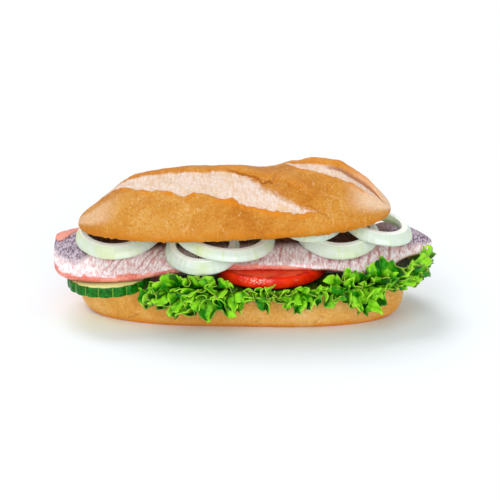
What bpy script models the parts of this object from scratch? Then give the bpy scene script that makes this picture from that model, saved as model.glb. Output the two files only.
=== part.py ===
# A long crusty roll, split level and filled with cucumber, tomato, curly lettuce,
# herring fillets with the skin up, and onion rings. Every piece is its own object.
# Lengths in this file are millimetres, turned into metres by the root empty's children
# as their meshes are written. +Z is up, the open long side faces -Y.
# The roll's lower half stands on z = 0 with its middle at x = 0, and the root empty then
# sets the whole over the origin.

import math

import bmesh
import bpy
from mathutils import Vector

MM = 0.001
GAP = 0.35

# Lower half of the roll
BASE_HALF_LENGTH = 97.6
BASE_HALF_WIDTH = 41.5
BASE_CUT_HEIGHT = 22.4
BASE_CUT_RISE = 0.017
BASE_WIDEST_HEIGHT = 13.0
BASE_RIM_SHARE = 0.965
BASE_FLAT_SHARE = 0.79
BASE_YAW = -0.035
BASE_TURNS = (72.0, 108.0, 148.0)
BASE_SEGMENTS = 20
BASE_RINGS = 32

# Upper half of the roll
LID_MIDDLE_X = -4.1
LID_HALF_LENGTH = 92.9
LID_HALF_WIDTH = 41.5
LID_CUT_HEIGHT = 54.6
LID_CUT_RISE = 0.045
LID_DOME = 32.0
LID_RIM = 3.6
LID_RIM_INSET = 0.06
LID_HOLLOW = 8.0
LID_TURNS = (126.0, 150.0)
LID_SEGMENTS = 30
LID_RINGS = 46
LOAF_POWER = 2.8
LID_LEFT_POWER = 2.3

# How much higher than an even dome the crown is: stations of x and height
LID_HUMPS = ((-98, -4.2), (-86, -4.2), (-78, -2.5), (-71, 0.0), (-64, 1.4), (-40, 1.8), (-20, 1.4),
             (0, 0.0), (12, -2.4), (20, -2.0), (26, -0.7), (34, -0.6), (40, 0.8), (48, 2.1),
             (58, 3.5), (64, 2.0), (70, 0.6), (77, -0.8), (83, -2.2), (89, -4.8))

# Slashes in the upper crust: stations of x, back border and front border, the borders as
# degrees round the dome from its crown, positive to the front; then how high the lip behind
# each stands
SLASH_LONG = ((-84, -16, -6), (-73, -14, 10), (-52, 3, 32), (-20, 10, 41), (15, 22, 57), (36, 44, 66),
              (46, 62, 70))
SLASH_SHORT = ((20, -30, -24), (35, -2, 12), (54, 12, 27), (70, 20, 35), (80, 28, 41), (88, 42, 52))
SLASH_LIPS = (1.0, 2.3)
SLASH_DEPTH = 2.2
LIP_HEIGHT = 1.5
LIP_WIDTH = 9.0

# Cucumber and tomato slices
CUCUMBER_CENTRE = (-77.8, -20.5)
CUCUMBER_RADIUS = 24.6
CUCUMBER_THICKNESS = 5.7
CUCUMBER_SCALLOPS = 18
CUCUMBER_GROOVE = 0.022
CUCUMBER_BULGE = 0.5
CUCUMBER_SEGMENTS = 54
TOMATO_CENTRE = (16.9, -11.2)
TOMATO_RADIUS = 33.3
TOMATO_THICKNESS = 6.5
TOMATO_HEIGHT = 26.6
TOMATO_BULGE = 1.2
TOMATO_SEGMENTS = 40

# Fillets: stations of x, front edge y, front edge top z, crown y, crown z, back edge y and
# back edge top z
FILLET_STATIONS = (
    (-112.5, 0.0, 36.0, 11.0, 38.8, 15.5, 39.4),
    (-110.0, -17.0, 32.8, 13.0, 40.0, 18.5, 39.8),
    (-104.0, -27.8, 31.4, 13.0, 41.2, 25.0, 39.6),
    (-94.0, -34.6, 31.3, 10.0, 42.0, 31.5, 38.6),
    (-80.0, -36.7, 31.3, 6.0, 42.6, 35.5, 36.4),
    (-66.0, -35.4, 31.4, 4.0, 42.8, 36.5, 35.0),
    (-50.0, -32.5, 33.0, 3.0, 43.0, 36.5, 35.0),
    (-24.0, -30.5, 36.5, 2.0, 43.4, 36.0, 36.6),
    (-8.0, -30.5, 36.6, 2.0, 43.6, 36.0, 36.7),
    (20.0, -30.5, 36.6, 2.0, 44.2, 36.5, 36.7),
    (49.0, -31.2, 36.6, 3.0, 44.5, 36.5, 36.6),
    (58.0, -31.8, 35.6, 3.5, 44.7, 36.0, 36.0),
    (69.0, -33.5, 35.0, 4.0, 44.7, 35.0, 35.8),
    (78.0, -30.5, 35.2, 4.5, 44.5, 33.5, 39.0),
    (87.0, -24.5, 36.2, 6.0, 44.7, 30.5, 43.0),
    (92.0, -16.0, 37.6, 8.0, 45.0, 28.0, 44.4),
    (97.0, -11.0, 38.8, 8.0, 45.2, 25.0, 44.8),
    (103.0, -9.2, 39.6, 6.0, 44.8, 18.0, 44.0),
    (110.0, -7.0, 40.0, 3.0, 42.8, 9.0, 42.6),
    (113.8, -1.0, 40.4, 1.0, 41.0, 3.0, 41.0),
)
FILLET_EDGE = 3.0
FILLET_LEFT = (-112.5, -25.4)
FILLET_RIGHT = (-24.4, 113.8)

# Onion rings: name, middle x, middle y, outer radius, height, height of the underside,
# slope along x, slope along y, droop along y, out of round, its turn in degrees
ONION_RINGS = (
    ("onion_ring_1", -73.0, 1.0, 26.0, 6.7, 43.0, 0.04, 0.09, 0.0056, 0.020, 20.0),
    ("onion_ring_2", -22.5, -20.0, 22.6, 7.0, 40.6, 0.00, 0.28, 0.0010, 0.015, 75.0),
    ("onion_ring_3", -9.9, -13.5, 29.4, 5.8, 47.8, -0.12, 0.20, 0.0000, 0.020, 10.0),
    ("onion_ring_4", 41.3, -5.0, 19.6, 6.0, 52.1, 0.00, 0.11, 0.0060, 0.010, 50.0),
    ("onion_ring_5", 57.5, -4.0, 25.4, 6.9, 44.8, 0.00, 0.08, 0.0062, 0.015, 110.0),
    ("onion_ring_6", 81.0, -8.0, 20.2, 6.6, 49.8, -0.16, 0.13, 0.0000, 0.020, 140.0),
)
ONION_WALL = 3.8
ONION_CONE = 2.8
ONION_SEGMENTS = 24

# Lettuce
LEAF_THICKNESS = 0.8
LEAF_LIFT = 1.0
LEAF_LAYER_GAP = 2.0
LEAF_DEPTH_STEPS = ((-26, 0.0), (-14, 0.0), (-5, 0.0), (0, 0.0), (0, 0.3), (0, 0.65), (0, 1.0))
LEAF_OVERHANG = 1.6
LEAF_FINE_WAVES = 2.6
LEAF_FINE_SWING = 1.5
LEAF_SIDE_SWING = 2.2
LEAF_LOBES = 0.18


def curve(x, stations, column):
    """Value of one column of the stations at x, on a smooth curve through them all."""
    last = len(stations) - 1
    x = min(max(x, stations[0][0]), stations[last][0])
    i = 0
    while i < last - 1 and x > stations[i + 1][0]:
        i += 1
    x0, x1 = stations[i][0], stations[i + 1][0]
    v0, v1 = stations[i][column], stations[i + 1][column]
    slope = (v1 - v0) / (x1 - x0)
    before = slope
    after = slope
    if i > 0:
        before = (v1 - stations[i - 1][column]) / (x1 - stations[i - 1][0])
    if i + 2 <= last:
        after = (stations[i + 2][column] - v0) / (stations[i + 2][0] - x0)
    t = (x - x0) / (x1 - x0)
    span = x1 - x0
    return ((2 * t ** 3 - 3 * t ** 2 + 1) * v0 + (t ** 3 - 2 * t ** 2 + t) * span * before
            + (3 * t ** 2 - 2 * t ** 3) * v1 + (t ** 3 - t ** 2) * span * after)


def ease(t):
    """Smooth step from 0 to 1."""
    t = min(max(t, 0.0), 1.0)
    return t * t * (3 - 2 * t)


def material(name, colour, roughness):
    """A plain Principled surface."""
    mat = bpy.data.materials.new(name)
    mat.use_nodes = True
    shader = mat.node_tree.nodes["Principled BSDF"]
    shader.inputs["Base Color"].default_value = (*colour, 1.0)
    shader.inputs["Roughness"].default_value = roughness
    shader.inputs["Metallic"].default_value = 0.0
    return mat


def place(name, bm, centre, mat, root):
    """Write a mesh given in millimetres as an object that stands at its centre."""
    for vert in bm.verts:
        vert.co = (vert.co - Vector(centre)) * MM
    bmesh.ops.recalc_face_normals(bm, faces=bm.faces)
    if bm.calc_volume(signed=True) < 0:
        bmesh.ops.reverse_faces(bm, faces=bm.faces)
    mesh = bpy.data.meshes.new(name)
    bm.to_mesh(mesh)
    bm.free()
    mesh.materials.append(mat)
    mesh.shade_smooth()
    piece = bpy.data.objects.new(name, mesh)
    bpy.context.collection.objects.link(piece)
    piece.location = Vector(centre) * MM
    piece.parent = root
    return piece


def base_cut(x):
    """Height of the lower half's cut face."""
    return BASE_CUT_HEIGHT + BASE_CUT_RISE * x


def lid_cut(x):
    """Height of the upper half's cut rim."""
    return LID_CUT_HEIGHT + LID_CUT_RISE * x


def base_point(co):
    """Carry a point of a unit ball, poles on x, to the lower half of the roll.

    Round the section the ball's turn is shared out between the cut face, the bulging
    side and the flat foot."""
    s = max(-1.0, min(1.0, co.x))
    turn = math.degrees(math.atan2(co.y, co.z)) if abs(s) < 0.9999 else 0.0
    side = 1 if turn >= 0 else -1
    turn = abs(turn)
    x = BASE_HALF_LENGTH * s
    cut = base_cut(x)
    rim_turn, widest_turn, foot_turn = BASE_TURNS
    if turn <= rim_turn:
        across = BASE_RIM_SHARE * turn / rim_turn
        height = cut
    elif turn <= widest_turn:
        c = math.radians(90) * (widest_turn - turn) / (widest_turn - rim_turn)
        across = BASE_RIM_SHARE + (1 - BASE_RIM_SHARE) * math.cos(c)
        height = BASE_WIDEST_HEIGHT + (cut - BASE_WIDEST_HEIGHT) * math.sin(c)
    elif turn <= foot_turn:
        c = math.radians(90) * (turn - widest_turn) / (foot_turn - widest_turn)
        across = BASE_FLAT_SHARE + (1 - BASE_FLAT_SHARE) * math.cos(c)
        height = BASE_WIDEST_HEIGHT * (1 - math.sin(c))
    else:
        across = BASE_FLAT_SHARE * (180 - turn) / (180 - foot_turn)
        height = 0.0
    width = BASE_HALF_WIDTH * (1 - abs(s) ** LOAF_POWER) ** 0.5
    width *= 1 + 0.012 * math.sin(0.07 * x + 1.3 * side)
    squeeze = (1 - abs(s) ** 14) ** 0.5
    height = BASE_WIDEST_HEIGHT + (height - BASE_WIDEST_HEIGHT) * squeeze * 1.04
    height = min(max(height, 0.0), cut)
    return Vector((x, side * across * width + BASE_YAW * x, height))


def slash_relief(x, angle):
    """Height of the crust's relief at x and at an angle round the dome.

    Inside a slash the crumb lies lower, and the crust behind it stands up as a lip."""
    relief = 0.0
    for stations, lip in zip((SLASH_LONG, SLASH_SHORT), SLASH_LIPS):
        first, last = stations[0][0], stations[-1][0]
        if not first < x < last:
            continue
        back = curve(x, stations, 1)
        front = curve(x, stations, 2)
        fade = ease((x - first) / 24) * ease((last - x) / 14)
        inside = ease((angle - back) / 5 + 0.5) * ease((front - angle) / 5 + 0.5)
        relief -= SLASH_DEPTH * fade * inside
        relief += LIP_HEIGHT * lip * fade * math.exp(-((angle - back + 7) / LIP_WIDTH) ** 2)
        relief += 0.4 * LIP_HEIGHT * fade * math.exp(-((angle - front - 5) / LIP_WIDTH) ** 2)
    return relief


def lid_point(co):
    """Carry a point of a unit ball, poles on x, to the upper half of the roll.

    The upper two thirds of the turn make the dome, then a rounded rim, then the cut face,
    which arches up over the filling."""
    s = max(-1.0, min(1.0, co.x))
    turn = math.degrees(math.atan2(co.y, co.z)) if abs(s) < 0.9999 else 0.0
    side = 1 if turn >= 0 else -1
    turn = abs(turn)
    x = LID_MIDDLE_X + LID_HALF_LENGTH * s
    full = (1 - abs(s) ** (LOAF_POWER if s > 0 else LID_LEFT_POWER)) ** 0.5
    low = (1 - abs(s) ** 7) ** 0.5
    width = LID_HALF_WIDTH * full * (1 + 0.012 * math.sin(0.06 * x + 2.1 * side))
    dome = full * (LID_DOME - LID_RIM + 0.9 * math.sin(0.045 * x - 0.4))
    dome += curve(x, LID_HUMPS, 1) * min(1.0, full * 2)
    dome_turn, rim_turn = LID_TURNS
    level = lid_cut(x) + LID_RIM - 1.2 * ease((-s - 0.75) / 0.25)
    if turn <= dome_turn:
        angle = 90 * turn / dome_turn
        a = math.radians(angle)
        relief = slash_relief(x, -side * angle) * min(1.0, full * 2)
        across = (width + relief) * math.sin(a)
        height = level + (dome + relief) * math.cos(a)
    elif turn <= rim_turn:
        c = math.radians(90) * (turn - dome_turn) / (rim_turn - dome_turn)
        across = width * (1 - LID_RIM_INSET * (1 - math.cos(c)))
        height = level - low * LID_RIM * math.sin(c)
    else:
        share = (180 - turn) / (180 - rim_turn)
        across = width * (1 - LID_RIM_INSET) * share
        height = level - low * (LID_RIM - LID_HOLLOW * full * (1 - share ** 2))
    return Vector((x, side * across, height))


def roll_half(name, shape, segments, rings, mat, root):
    """One half of the roll: a ball with its poles at the tips, reshaped point by point."""
    bm = bmesh.new()
    bmesh.ops.create_uvsphere(bm, u_segments=segments, v_segments=rings, radius=1.0)
    for vert in bm.verts:
        vert.co = shape(Vector((vert.co.z, vert.co.y, -vert.co.x)))
    return place(name, bm, (0, 0, 0), mat, root)


def slice_disc(name, centre, radius, bottom, thickness, segments, outline, bulge, slope, mat, root):
    """A round slice: a circle extruded through a bulging rim and closed with inset caps."""
    bm = bmesh.new()
    steps = ((0.0, 0.0), (0.22, 0.75), (0.5, 1.0), (0.78, 0.75), (1.0, 0.0))
    rings = []
    for share, out in steps:
        ring = []
        for i in range(segments):
            turn = 2 * math.pi * i / segments
            r = radius * outline(turn) - bulge * (1 - out)
            x = centre[0] + r * math.cos(turn)
            y = centre[1] + r * math.sin(turn)
            z = bottom + thickness * share + slope * (x - centre[0])
            ring.append(bm.verts.new((x, y, z)))
        rings.append(ring)
    for low, high in zip(rings, rings[1:]):
        for i in range(segments):
            j = (i + 1) % segments
            bm.faces.new((low[i], low[j], high[j], high[i]))
    for ring in (rings[0], rings[-1]):
        cap = bm.faces.new(ring)
        bmesh.ops.inset_region(bm, faces=[cap], thickness=radius * 0.35)
        bmesh.ops.poke(bm, faces=[cap])
    return place(name, bm, (centre[0], centre[1], bottom), mat, root)


def fillet_top(x, y):
    """Height of the skin: it climbs from the front edge to a crown and falls to the back."""
    front_y, front_z = curve(x, FILLET_STATIONS, 1), curve(x, FILLET_STATIONS, 2)
    crown_y, crown_z = curve(x, FILLET_STATIONS, 3), curve(x, FILLET_STATIONS, 4)
    back_y, back_z = curve(x, FILLET_STATIONS, 5), curve(x, FILLET_STATIONS, 6)
    if y <= crown_y:
        t = min(1.0, (crown_y - y) / (crown_y - front_y))
        return crown_z - (crown_z - front_z) * t ** 1.6
    t = min(1.0, (y - crown_y) / (back_y - crown_y))
    return crown_z - (crown_z - back_z) * t ** 1.8


def fillet(name, ends, length_steps, width_steps, mat, root):
    """A herring fillet: a grid laid on the skin's surface and extruded down to its belly."""
    bm = bmesh.new()
    made = bmesh.ops.create_grid(bm, x_segments=length_steps, y_segments=width_steps, size=1.0)
    for vert in made["verts"]:
        u = (vert.co.x + 1) / 2
        v = (vert.co.y + 1) / 2
        x = ends[0] + (ends[1] - ends[0]) * (0.5 - 0.5 * math.cos(math.pi * u)) * 0.35
        x += (ends[1] - ends[0]) * u * 0.65
        front = curve(x, FILLET_STATIONS, 1)
        back = curve(x, FILLET_STATIONS, 5)
        y = front + (back - front) * v
        vert.co = Vector((x, y, fillet_top(x, y)))
    spread = bmesh.ops.extrude_face_region(bm, geom=bm.faces[:])
    under = [item for item in spread["geom"] if isinstance(item, bmesh.types.BMVert)]
    for vert in under:
        x, y, z = vert.co
        front = curve(x, FILLET_STATIONS, 1)
        back = curve(x, FILLET_STATIONS, 5)
        v = (y - front) / (back - front)
        belly = curve(x, FILLET_STATIONS, 2) * (1 - v) + curve(x, FILLET_STATIONS, 6) * v
        end = ease(min(x - ends[0], ends[1] - x) / 16)
        vert.co.z = z + (belly - z) * (0.35 + 0.65 * end) - FILLET_EDGE
    return place(name, bm, ((ends[0] + ends[1]) / 2, 0, 36), mat, root)


def onion_ring(name, x, y, radius, height, base, slope_x, slope_y, droop, oval, oval_turn, mat, root):
    """A ring cut from one layer: an upright, slightly coned wall spun round the axis, then
    pushed out of round and laid over the fillets."""
    bm = bmesh.new()
    outer_top = radius - ONION_CONE
    wall = (
        (radius - 0.8, 0.0), (radius, 0.16 * height), (radius - 0.3 * ONION_CONE, 0.6 * height),
        (outer_top, 0.94 * height), (outer_top - 0.5, height), (outer_top - ONION_WALL, height),
        (outer_top - ONION_WALL - 0.2, 0.5 * height), (radius - ONION_WALL - 0.9, 0.0),
    )
    loop = [bm.verts.new((r, 0.0, z)) for r, z in wall]
    edges = [bm.edges.new((loop[i], loop[(i + 1) % len(loop)])) for i in range(len(loop))]
    bmesh.ops.spin(bm, geom=loop + edges, cent=(0, 0, 0), axis=(0, 0, 1), angle=math.radians(360),
                   steps=ONION_SEGMENTS, use_merge=True)
    bmesh.ops.remove_doubles(bm, verts=bm.verts, dist=0.01)
    for vert in bm.verts:
        turn = math.atan2(vert.co.y, vert.co.x)
        stretch = 1 + oval * math.cos(2 * (turn - math.radians(oval_turn)))
        px = vert.co.x * stretch
        py = vert.co.y * stretch
        lift = base + slope_x * px + slope_y * py - droop * py * py
        vert.co = Vector((x + px, y + py, vert.co.z + lift))
    return place(name, bm, (x, y, base), mat, root)


def rim_point(along):
    """Point and outward direction on the lower half's cut rim, by x for the front.

    Past the right tip the rim comes back along the far side, where along keeps growing."""
    half = BASE_HALF_LENGTH - 1.0
    x = along if along <= half else 2 * half - along
    side = -1 if along <= half else 1

    def rim_y(at):
        share = min(0.9999, abs(at) / BASE_HALF_LENGTH)
        return BASE_RIM_SHARE * BASE_HALF_WIDTH * (1 - share ** LOAF_POWER) ** 0.5

    y = rim_y(x)
    step = 0.5
    fall = (rim_y(min(x + step, half)) - rim_y(x - step)) / (min(x + step, half) - x + step)
    outward = Vector((-fall, 1.0)).normalized()
    return Vector((x, side * y + BASE_YAW * x)), Vector((outward.x, side * outward.y))


def leaf(name, spans, layers, mat, root):
    """A curly leaf: a grid folded so that one or both frilled margins hang out of the roll.

    spans gives the base and margin ends along the rim. Each layer gives the margin's
    slope at its start and end, its swing, waves, phase and reach, and the layer's height."""
    base_from, base_to, edge_from, edge_to, steps = spans
    rows = []
    for layer in layers:
        slope_from, slope_to, swing, waves, phase, reach, lift = layer
        sheet = []
        for inset, out in LEAF_DEPTH_STEPS:
            line = []
            for i in range(steps + 1):
                u = i / steps
                at = (base_from + (base_to - base_from) * u) * (1 - out)
                at += (edge_from + (edge_to - edge_from) * u) * out
                spot, outward = rim_point(at)
                wave = math.sin(2 * math.pi * waves * u + phase)
                fine = math.sin(2 * math.pi * waves * LEAF_FINE_WAVES * u + 2 * phase)
                slope = slope_from + (slope_to - slope_from) * u
                tilt = math.radians(slope + swing * wave)
                length = reach * (1 + LEAF_LOBES * math.sin(2 * math.pi * (waves * 0.61) * u + phase))
                length *= ease(u * 6 + 0.25) * ease((1 - u) * 6 + 0.25)
                bend = tilt * min(1.0, 0.55 + 0.45 * out)
                away = LEAF_OVERHANG + length * out * math.cos(bend)
                if out == 0:
                    away = 0.0
                rise = length * out * math.sin(bend) + LEAF_FINE_SWING * fine * out
                d = inset + away
                side = LEAF_SIDE_SWING * out * math.sin(4 * math.pi * waves * u + phase)
                along = Vector((outward.y, -outward.x))
                flat = spot + outward * d + along * side
                z = base_cut(flat.x) + lift + rise
                line.append((flat.x, flat.y, z))
            sheet.append(line)
        rows.append(sheet)
    folds = rows[0][::-1]
    if len(rows) == 2:
        folds = folds + rows[1]
    bm = bmesh.new()
    grid = [[bm.verts.new(point) for point in line] for line in folds]
    for low, high in zip(grid, grid[1:]):
        for i in range(steps):
            if i % 2:
                bm.faces.new((low[i], low[i + 1], high[i + 1]))
                bm.faces.new((low[i], high[i + 1], high[i]))
            else:
                bm.faces.new((low[i], low[i + 1], high[i]))
                bm.faces.new((low[i + 1], high[i + 1], high[i]))
    centre = (0.5 * (base_from + base_to), 0, BASE_CUT_HEIGHT)
    piece = place(name, bm, centre, mat, root)
    skin = piece.modifiers.new("thickness", "SOLIDIFY")
    skin.thickness = LEAF_THICKNESS * MM
    skin.offset = 0.0
    return piece


def cucumber_outline(turn):
    """Scalloped rind: a shallow groove between each pair of ridges."""
    return 1 - CUCUMBER_GROOVE * abs(math.cos(CUCUMBER_SCALLOPS * turn / 2)) ** 6


def tomato_outline(turn):
    """Slightly lobed skin."""
    return 1 + 0.008 * math.cos(5 * turn + 0.6) + 0.006 * math.cos(3 * turn)


def build():
    for old in list(bpy.data.objects):
        bpy.data.objects.remove(old, do_unlink=True)

    crust = material("crust", (0.72, 0.38, 0.12), 0.55)
    cucumber_green = material("cucumber", (0.10, 0.36, 0.05), 0.35)
    tomato_red = material("tomato", (0.80, 0.04, 0.01), 0.25)
    herring = material("herring", (0.62, 0.48, 0.52), 0.35)
    onion = material("onion", (0.80, 0.86, 0.68), 0.3)
    lettuce = material("lettuce", (0.10, 0.42, 0.02), 0.4)

    root = bpy.data.objects.new("sandwich", None)
    bpy.context.collection.objects.link(root)

    pieces = [
        roll_half("bun_bottom", base_point, BASE_SEGMENTS, BASE_RINGS, crust, root),
        roll_half("bun_top", lid_point, LID_SEGMENTS, LID_RINGS, crust, root),
        slice_disc("cucumber_slice", CUCUMBER_CENTRE, CUCUMBER_RADIUS,
                   base_cut(CUCUMBER_CENTRE[0]) + GAP, CUCUMBER_THICKNESS, CUCUMBER_SEGMENTS,
                   cucumber_outline, CUCUMBER_BULGE, BASE_CUT_RISE, cucumber_green, root),
        slice_disc("tomato_slice", TOMATO_CENTRE, TOMATO_RADIUS, TOMATO_HEIGHT,
                   TOMATO_THICKNESS, TOMATO_SEGMENTS, tomato_outline, TOMATO_BULGE, 0.0, tomato_red,
                   root),
        fillet("herring_left", FILLET_LEFT, 16, 8, herring, root),
        fillet("herring_right", FILLET_RIGHT, 24, 8, herring, root),
    ]
    for ring in ONION_RINGS:
        pieces.append(onion_ring(*ring, onion, root))

    low, high = LEAF_LIFT, LEAF_LIFT + LEAF_LAYER_GAP
    pieces.append(leaf("lettuce_left", (-44, 1, -54, 3, 28),
                       ((-50, -50, 26, 3.4, 0.4, 15, low), (26, 22, 30, 3.1, 2.0, 13, high)),
                       lettuce, root))
    pieces.append(leaf("lettuce_middle", (7, 44, 6, 45, 20),
                       ((-40, -40, 28, 2.6, 1.1, 12.5, low),), lettuce, root))
    pieces.append(leaf("lettuce_right", (49, 101, 49, 106, 30),
                       ((-48, -40, 24, 3.6, 2.6, 16, low), (30, -8, 22, 3.3, 0.2, 13, high)),
                       lettuce, root))
    far = 2 * (BASE_HALF_LENGTH - 1)
    pieces.append(leaf("lettuce_back", (far - 52, far + 46, far - 58, far + 54, 40),
                       ((-22, -18, 34, 6.3, 0.9, 12.5, low),), lettuce, root))

    bpy.context.view_layer.update()
    corners = []
    graph = bpy.context.evaluated_depsgraph_get()
    for piece in pieces:
        seen = piece.evaluated_get(graph)
        corners += [piece.matrix_world @ Vector(corner) for corner in seen.bound_box]
    middle_x = (min(c.x for c in corners) + max(c.x for c in corners)) / 2
    middle_y = (min(c.y for c in corners) + max(c.y for c in corners)) / 2
    root.location = (-middle_x, -middle_y, 0.0)


build()
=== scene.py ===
import math

import bpy
import numpy as np
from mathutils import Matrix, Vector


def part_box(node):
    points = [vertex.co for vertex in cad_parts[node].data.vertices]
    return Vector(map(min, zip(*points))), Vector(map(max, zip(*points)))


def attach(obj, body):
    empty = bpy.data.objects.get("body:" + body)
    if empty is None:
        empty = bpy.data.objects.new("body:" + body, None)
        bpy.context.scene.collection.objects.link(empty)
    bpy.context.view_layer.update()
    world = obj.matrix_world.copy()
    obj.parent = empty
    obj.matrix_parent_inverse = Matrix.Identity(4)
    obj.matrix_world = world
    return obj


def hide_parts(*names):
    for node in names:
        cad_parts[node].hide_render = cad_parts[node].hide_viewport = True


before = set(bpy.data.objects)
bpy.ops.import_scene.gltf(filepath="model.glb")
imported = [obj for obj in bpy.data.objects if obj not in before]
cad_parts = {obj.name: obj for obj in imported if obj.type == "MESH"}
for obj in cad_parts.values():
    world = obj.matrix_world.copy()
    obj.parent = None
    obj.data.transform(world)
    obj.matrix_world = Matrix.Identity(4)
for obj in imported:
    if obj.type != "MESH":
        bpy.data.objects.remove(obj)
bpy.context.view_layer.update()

# Shapes are worked out in millimetres round the lower roll's middle, then moved into the frame,
# whose origin is the middle of the whole footprint. The cucumber slice tells the shift.
mm = 0.001
cucumber = {"x": -77.8, "y": -20.5, "radius": 24.6, "thickness": 5.7, "scallops": 18, "grooveDepth": 0.034,
            "bulge": 0.5, "around": 432, "soften": 0.10, "paintedShineAt": 0.0}
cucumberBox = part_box("cucumber_slice")
shift = np.array([(cucumberBox[0].x + cucumberBox[1].x) / 2 - cucumber["x"] * mm,
                  (cucumberBox[0].y + cucumberBox[1].y) / 2 - cucumber["y"] * mm, 0.0])


def ease(t):
    # smooth step from 0 to 1: t squared times (3 - 2 t)
    t = np.clip(t, 0.0, 1.0)
    return t * t * (3 - 2 * t)


def bell(t):
    # 1 at zero, falling off evenly to both sides: e to the power of minus t squared
    return np.exp(-t ** 2)


def curveThrough(x, stations, column):
    # one column of the stations at x: a cubic through them all, its slope at each station the
    # slope between the neighbours
    table = np.array(stations, float)
    xs, vs = table[:, 0], table[:, column]
    slopes = np.empty_like(vs)
    slopes[1:-1] = (vs[2:] - vs[:-2]) / (xs[2:] - xs[:-2])
    slopes[0] = (vs[1] - vs[0]) / (xs[1] - xs[0])
    slopes[-1] = (vs[-1] - vs[-2]) / (xs[-1] - xs[-2])
    x = np.clip(x, xs[0], xs[-1])
    i = np.clip(np.searchsorted(xs, x, side="left") - 1, 0, len(xs) - 2)
    span = xs[i + 1] - xs[i]
    t = (x - xs[i]) / span
    return ((2 * t ** 3 - 3 * t ** 2 + 1) * vs[i] + (t ** 3 - 2 * t ** 2 + t) * span * slopes[i]
            + (3 * t ** 2 - 2 * t ** 3) * vs[i + 1] + (t ** 3 - t ** 2) * span * slopes[i + 1])


def latticeNoise(points, cell, seed):
    # random values at the corners of a lattice, eased between them: about -1 to 1; three large
    # primes mix a corner's numbers into its place in the table of values
    table = np.random.default_rng(seed).random(4096) * 2 - 1
    primes = np.array([73856093, 19349663, 83492791])
    q = points / cell
    low = np.floor(q).astype(np.int64)
    f = ease(q - low)
    total = np.zeros(points.shape[:-1])
    for corner in range(8):
        offset = np.array([corner & 1, corner >> 1 & 1, corner >> 2 & 1])
        key = np.bitwise_xor.reduce((low + offset) * primes, axis=-1) & 4095
        total += table[key] * np.prod(np.where(offset == 1, f, 1 - f), axis=-1)
    return total


def layeredNoise(points, cell, seed, layers=3):
    # lattice noise at halving cells and halving strengths
    total = 0
    for layer in range(layers):
        total = total + latticeNoise(points, cell / 2 ** layer, seed + layer) / 2 ** layer
    return total


def lineDistance(x, y, bends):
    # distance of each (x, y) from a bent line: the least of those to its straight parts, where t
    # is the share of the part at which its nearest point lies
    best = np.full(np.shape(x), 1e9)
    for (ax, ay), (bx, by) in zip(bends, bends[1:]):
        dx, dy = bx - ax, by - ay
        t = np.clip(((x - ax) * dx + (y - ay) * dy) / (dx * dx + dy * dy), 0, 1)
        best = np.minimum(best, np.hypot(x - ax - t * dx, y - ay - t * dy))
    return best


def stack(*parts):
    # coordinates side by side along a last axis
    return np.stack(np.broadcast_arrays(*parts), axis=-1)


def addObject(name, data):
    # an object of this data, linked into the scene
    made = bpy.data.objects.new(name, data)
    bpy.context.scene.collection.objects.link(made)
    return made


def putMesh(name, points, faces, finish, bands, nodes, bothWays=False):
    # points in millimetres of the design; bands hold one value per point for the material
    points = points * mm + shift
    quads = np.array([f for f in faces if len(f) == 4], int).reshape(-1, 4)
    fans = np.array([f for f in faces if len(f) == 3], int).reshape(-1, 3)
    triangles = np.concatenate([quads[:, [0, 1, 2]], quads[:, [0, 2, 3]], fans])
    a, b, c = points[triangles[:, 0]], points[triangles[:, 1]], points[triangles[:, 2]]
    if not bothWays and np.einsum("ij,ij->i", a, np.cross(b, c)).sum() < 0:
        faces = [f[::-1] for f in faces]
    mesh = bpy.data.meshes.new(name)
    mesh.from_pydata(points, [], faces)
    mesh.update()
    mesh.shade_smooth()
    for label, values in bands.items():
        layer = mesh.attributes.new(label, "FLOAT", "POINT")
        layer.data.foreach_set("value", np.ascontiguousarray(values, np.float32).ravel())
    piece = addObject(name, mesh)
    mesh.materials.append(finish)
    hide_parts(*nodes)
    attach(piece, "root")
    return piece


def gridFaces(rows, columns, wrapRows=False, wrapColumns=False, start=0):
    # quads of a grid of points numbered row by row
    r = np.arange(rows if wrapRows else rows - 1)[:, None]
    c = np.arange(columns if wrapColumns else columns - 1)[None, :]
    r2, c2 = (r + 1) % rows, (c + 1) % columns
    faces = np.stack([r * columns + c, r * columns + c2, r2 * columns + c2, r2 * columns + c], axis=-1)
    return faces.reshape(-1, 4) + start


def overGrid(shape, bands):
    # each band's values for every point of a grid, row by row
    return {label: np.broadcast_to(values, shape).ravel() for label, values in bands.items()}


def closedLoft(rings, firstPole, lastPole, bands, onesAtPoles=()):
    # closed rings of points joined along a path, with a fan of triangles round each pole; each
    # band is spread over the rings and is 0 or 1 at the poles
    count, around = rings.shape[:2]
    points = np.concatenate([rings.reshape(-1, 3), [firstPole, lastPole]])
    faces = gridFaces(count, around, wrapColumns=True).tolist()
    here = np.arange(around)
    there = (here + 1) % around
    last = (count - 1) * around
    first = np.stack([there, here, np.full(around, count * around)], axis=-1)
    end = np.stack([last + here, last + there, np.full(around, count * around + 1)], axis=-1)
    spread = {label: np.append(values, [float(label in onesAtPoles)] * 2)
              for label, values in overGrid((count, around), bands).items()}
    return points, faces + first.tolist() + end.tolist(), spread


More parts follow.
